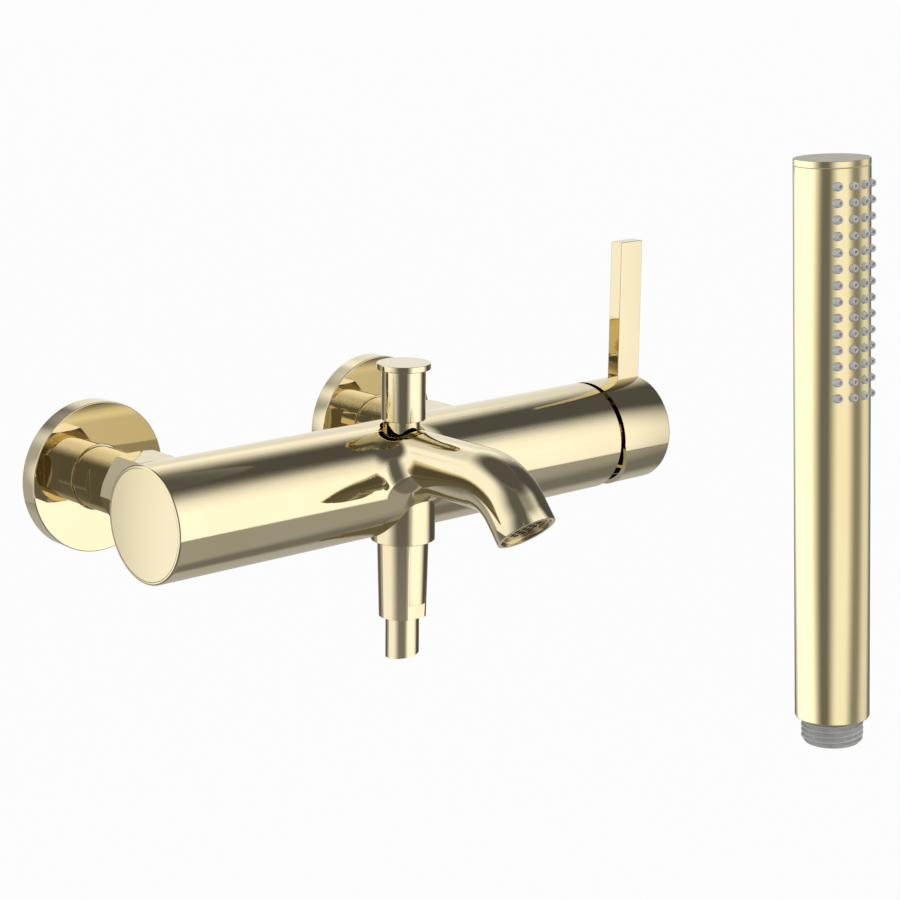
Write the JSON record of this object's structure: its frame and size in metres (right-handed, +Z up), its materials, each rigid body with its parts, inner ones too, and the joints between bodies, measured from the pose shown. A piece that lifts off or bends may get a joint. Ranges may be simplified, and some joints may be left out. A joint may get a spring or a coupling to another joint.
{
  "type": "bath shower mixer",
  "caption": "Wall-mounted single-lever bath shower mixer with a bent spout, pull-up diverter, hose outlet and a loose bar handset.",
  "frame": {"origin": "on the wall plane, midway between the two inlets, level with the body's axis", "axes": "+X along the body from its closed end to the handle, +Y into the wall, +Z up"},
  "size_m": [0.2708, 0.3577, 0.2305],
  "materials": {
    "gold": "mirror polished pale gold",
    "dull_gold": "satin gold",
    "brass": "turned raw brass",
    "steel": "ground stainless steel",
    "white_plastic": "moulded",
    "ceramic": "lapped ceramic",
    "rubber": "smooth rubber",
    "silicone": "matt grey silicone",
    "grey_plastic": "moulded grey"
  },
  "bodies": {
    "mixer": {"mixer_body": "gold", "end_plug": "gold", "wall_flange_left": "gold", "wall_flange_right": "gold", "s_union_left": "gold", "s_union_right": "gold", "union_nut_left": "gold", "union_nut_right": "gold", "union_washer_left": "rubber", "union_washer_right": "rubber", "inlet_nipple_left": "brass", "inlet_nipple_right": "brass", "check_valve_left": "white_plastic", "check_valve_right": "white_plastic", "cartridge_housing": "white_plastic", "cartridge_base": "white_plastic", "cartridge_seals": "rubber", "fixed_disc": "ceramic", "retaining_nut": "brass", "diverter_bonnet": "gold", "bonnet_seal": "rubber", "diverter_spring": "steel", "shower_nipple": "brass", "cone_nut": "gold", "hose_washer": "rubber", "aerator_shell": "gold", "aerator_insert": "dull_gold", "aerator_washer": "rubber"},
    "rotor": {"cartridge_rotor": "white_plastic", "tilt_pin": "steel"},
    "disc": {"moving_disc": "ceramic", "disc_carrier": "white_plastic"},
    "handle": {"handle_cap": "gold", "lever": "gold", "handle_stem": "steel", "grub_screw": "steel"},
    "diverter": {"diverter_knob": "gold", "diverter_stem": "steel", "diverter_plate": "brass", "diverter_seals": "rubber"},
    "hose": {"hose_end": "gold"},
    "handset": {"handset_tube": "gold", "handset_end_cap": "gold", "nozzle_mat": "silicone", "handset_core": "white_plastic", "handset_tail": "grey_plastic", "handset_seal": "rubber"}
  },
  "joints": [
    {"name": "temperature_turn", "type": "hinge", "parent": "mixer", "child": "rotor", "pos_m": [0.114, -0.0823, 0], "axis": [1, 0, 0], "range_deg": [-45, 45]},
    {"name": "lever_tilt", "type": "hinge", "parent": "rotor", "child": "handle", "pos_m": [0.114, -0.0823, 0], "axis": [0, 1, 0], "range_deg": [0, 18]},
    {"name": "disc_slide", "type": "slide", "parent": "rotor", "child": "disc", "axis": [0, 0, 1], "range_m": [0, 0.0036]},
    {"name": "diverter_lift", "type": "slide", "parent": "mixer", "child": "diverter", "axis": [0, 0, 1], "range_m": [0, 0.008], "stiffness_N_per_m": 250, "springref_m": -0.004, "deforming": ["diverter_spring"]},
    {"name": "hose_swivel", "type": "hinge", "parent": "mixer", "child": "hose", "pos_m": [0.0173, -0.0927, -0.06], "axis": [0, 0, 1], "continuous": true},
    {"name": "handset_swivel", "type": "hinge", "parent": "mixer", "child": "handset", "pos_m": [0.0047, -0.3236, 0.06005], "axis": [-0.0302, 0.0373, 0.9988], "continuous": true}
  ],
  "couplings": [
    {"joint": "disc_slide", "follows": "lever_tilt", "m_per_rad": 0.011}
  ]
}
